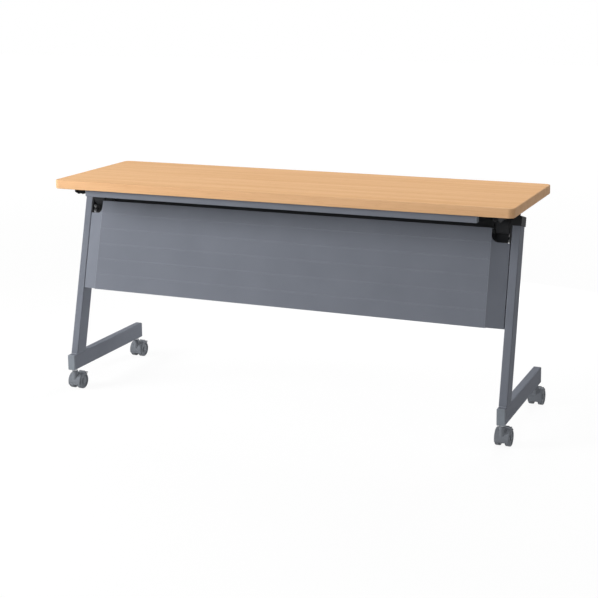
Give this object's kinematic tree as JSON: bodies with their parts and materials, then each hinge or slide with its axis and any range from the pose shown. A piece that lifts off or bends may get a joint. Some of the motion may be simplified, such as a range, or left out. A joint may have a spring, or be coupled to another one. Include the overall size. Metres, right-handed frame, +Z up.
{
  "type": "flip-top conference table",
  "caption": "Conference table with a woodgrain top that tips up on a cross beam, leaning steel legs, a ribbed modesty panel and braked casters.",
  "frame": {"origin": "on the floor under the middle of the footprint, which runs from the front edge of the top to the rear brake pedals", "axes": "+X along the top, to the right as seen from the modesty panel; +Y from the panel towards the sitter; +Z up"},
  "size_m": [1.5, 0.4794, 0.7],
  "materials": {
    "beech_laminate": "satin",
    "beech_edge": "satin",
    "particle_board": "rough",
    "backing_laminate": "matte",
    "grey_paint": "satin",
    "black_paint": "satin",
    "black_plastic": "matte",
    "grey_plastic": "matte",
    "caster_plastic": "matte",
    "nylon": "matte",
    "bright_steel": "satin",
    "black_rubber": "matte"
  },
  "bodies": {
    "frame": {"cross_beam": "black_paint", "beam_plate_left": "black_paint", "beam_plate_right": "black_paint", "beam_bolts": "bright_steel", "beam_nuts": "bright_steel", "upright_left": "grey_paint", "upright_right": "grey_paint", "upright_cap_left": "black_plastic", "upright_cap_right": "black_plastic", "stop_buffers": "black_rubber", "hinge_covers": "black_plastic", "foot_left": "grey_paint", "foot_right": "grey_paint", "foot_end_caps": "grey_plastic", "caster_sockets": "bright_steel", "caster_stems": "bright_steel", "modesty_panel": "grey_paint", "panel_cover_left": "grey_paint", "panel_cover_right": "grey_paint", "panel_spacers": "black_plastic", "panel_screws": "bright_steel"},
    "top": {"tabletop_core": "particle_board", "tabletop_laminate": "beech_laminate", "tabletop_backing": "backing_laminate", "edge_band": "beech_edge", "front_rail": "grey_paint", "wood_screws": "bright_steel", "rail_end_caps": "grey_plastic", "hinge_arm_left": "black_paint", "hinge_arm_right": "black_paint", "hinge_casting_left": "black_paint", "hinge_casting_right": "black_paint", "hinge_bush_left": "nylon", "hinge_bush_right": "nylon", "lock_housing_left": "black_plastic", "lock_housing_right": "black_plastic"},
    "lock_left": {"lock_bolt_left": "black_paint", "lock_tab_left": "black_plastic"},
    "lock_right": {"lock_bolt_right": "black_paint", "lock_tab_right": "black_plastic"},
    "caster_front_left": {"caster_hood_front_left": "caster_plastic", "caster_axle_front_left": "bright_steel"},
    "wheel_front_left_a": {"caster_wheel_front_left_a": "caster_plastic"},
    "wheel_front_left_b": {"caster_wheel_front_left_b": "caster_plastic"},
    "pedal_front_left": {"brake_pedal_front_left": "caster_plastic"},
    "caster_rear_left": {"caster_hood_rear_left": "caster_plastic", "caster_axle_rear_left": "bright_steel"},
    "wheel_rear_left_a": {"caster_wheel_rear_left_a": "caster_plastic"},
    "wheel_rear_left_b": {"caster_wheel_rear_left_b": "caster_plastic"},
    "pedal_rear_left": {"brake_pedal_rear_left": "caster_plastic"},
    "caster_front_right": {"caster_hood_front_right": "caster_plastic", "caster_axle_front_right": "bright_steel"},
    "wheel_front_right_a": {"caster_wheel_front_right_a": "caster_plastic"},
    "wheel_front_right_b": {"caster_wheel_front_right_b": "caster_plastic"},
    "pedal_front_right": {"brake_pedal_front_right": "caster_plastic"},
    "caster_rear_right": {"caster_hood_rear_right": "caster_plastic", "caster_axle_rear_right": "bright_steel"},
    "wheel_rear_right_a": {"caster_wheel_rear_right_a": "caster_plastic"},
    "wheel_rear_right_b": {"caster_wheel_rear_right_b": "caster_plastic"},
    "pedal_rear_right": {"brake_pedal_rear_right": "caster_plastic"}
  },
  "joints": [
    {"name": "top_flip", "type": "hinge", "parent": "frame", "child": "top", "pos_m": [0, -0.05867, 0.62], "axis": [1, 0, 0], "range_deg": [-90, 0]},
    {"name": "lock_slide_left", "type": "slide", "parent": "top", "child": "lock_left", "axis": [-1, 0, 0], "range_m": [0, 0.012]},
    {"name": "lock_slide_right", "type": "slide", "parent": "top", "child": "lock_right", "axis": [1, 0, 0], "range_m": [0, 0.012]},
    {"name": "caster_swivel_front_left", "type": "hinge", "parent": "frame", "child": "caster_front_left", "pos_m": [-0.718, -0.20848, 0.06], "axis": [0, 0, 1], "continuous": true},
    {"name": "wheel_spin_front_left_a", "type": "hinge", "parent": "caster_front_left", "child": "wheel_front_left_a", "pos_m": [-0.733, -0.19048, 0.025], "axis": [1, 0, 0], "continuous": true},
    {"name": "wheel_spin_front_left_b", "type": "hinge", "parent": "caster_front_left", "child": "wheel_front_left_b", "pos_m": [-0.703, -0.19048, 0.025], "axis": [1, 0, 0], "continuous": true},
    {"name": "brake_front_left", "type": "hinge", "parent": "caster_front_left", "child": "pedal_front_left", "pos_m": [-0.718, -0.1682, 0.04727], "axis": [1, 0, 0], "range_deg": [0, 20]},
    {"name": "caster_swivel_rear_left", "type": "hinge", "parent": "frame", "child": "caster_rear_left", "pos_m": [-0.718, 0.18452, 0.06], "axis": [0, 0, 1], "continuous": true},
    {"name": "wheel_spin_rear_left_a", "type": "hinge", "parent": "caster_rear_left", "child": "wheel_rear_left_a", "pos_m": [-0.733, 0.20252, 0.025], "axis": [1, 0, 0], "continuous": true},
    {"name": "wheel_spin_rear_left_b", "type": "hinge", "parent": "caster_rear_left", "child": "wheel_rear_left_b", "pos_m": [-0.703, 0.20252, 0.025], "axis": [1, 0, 0], "continuous": true},
    {"name": "brake_rear_left", "type": "hinge", "parent": "caster_rear_left", "child": "pedal_rear_left", "pos_m": [-0.718, 0.2248, 0.04727], "axis": [1, 0, 0], "range_deg": [0, 20]},
    {"name": "caster_swivel_front_right", "type": "hinge", "parent": "frame", "child": "caster_front_right", "pos_m": [0.718, -0.20848, 0.06], "axis": [0, 0, 1], "continuous": true},
    {"name": "wheel_spin_front_right_a", "type": "hinge", "parent": "caster_front_right", "child": "wheel_front_right_a", "pos_m": [0.703, -0.19048, 0.025], "axis": [1, 0, 0], "continuous": true},
    {"name": "wheel_spin_front_right_b", "type": "hinge", "parent": "caster_front_right", "child": "wheel_front_right_b", "pos_m": [0.733, -0.19048, 0.025], "axis": [1, 0, 0], "continuous": true},
    {"name": "brake_front_right", "type": "hinge", "parent": "caster_front_right", "child": "pedal_front_right", "pos_m": [0.718, -0.1682, 0.04727], "axis": [1, 0, 0], "range_deg": [0, 20]},
    {"name": "caster_swivel_rear_right", "type": "hinge", "parent": "frame", "child": "caster_rear_right", "pos_m": [0.718, 0.18452, 0.06], "axis": [0, 0, 1], "continuous": true},
    {"name": "wheel_spin_rear_right_a", "type": "hinge", "parent": "caster_rear_right", "child": "wheel_rear_right_a", "pos_m": [0.703, 0.20252, 0.025], "axis": [1, 0, 0], "continuous": true},
    {"name": "wheel_spin_rear_right_b", "type": "hinge", "parent": "caster_rear_right", "child": "wheel_rear_right_b", "pos_m": [0.733, 0.20252, 0.025], "axis": [1, 0, 0], "continuous": true},
    {"name": "brake_rear_right", "type": "hinge", "parent": "caster_rear_right", "child": "pedal_rear_right", "pos_m": [0.718, 0.2248, 0.04727], "axis": [1, 0, 0], "range_deg": [0, 20]}
  ]
}
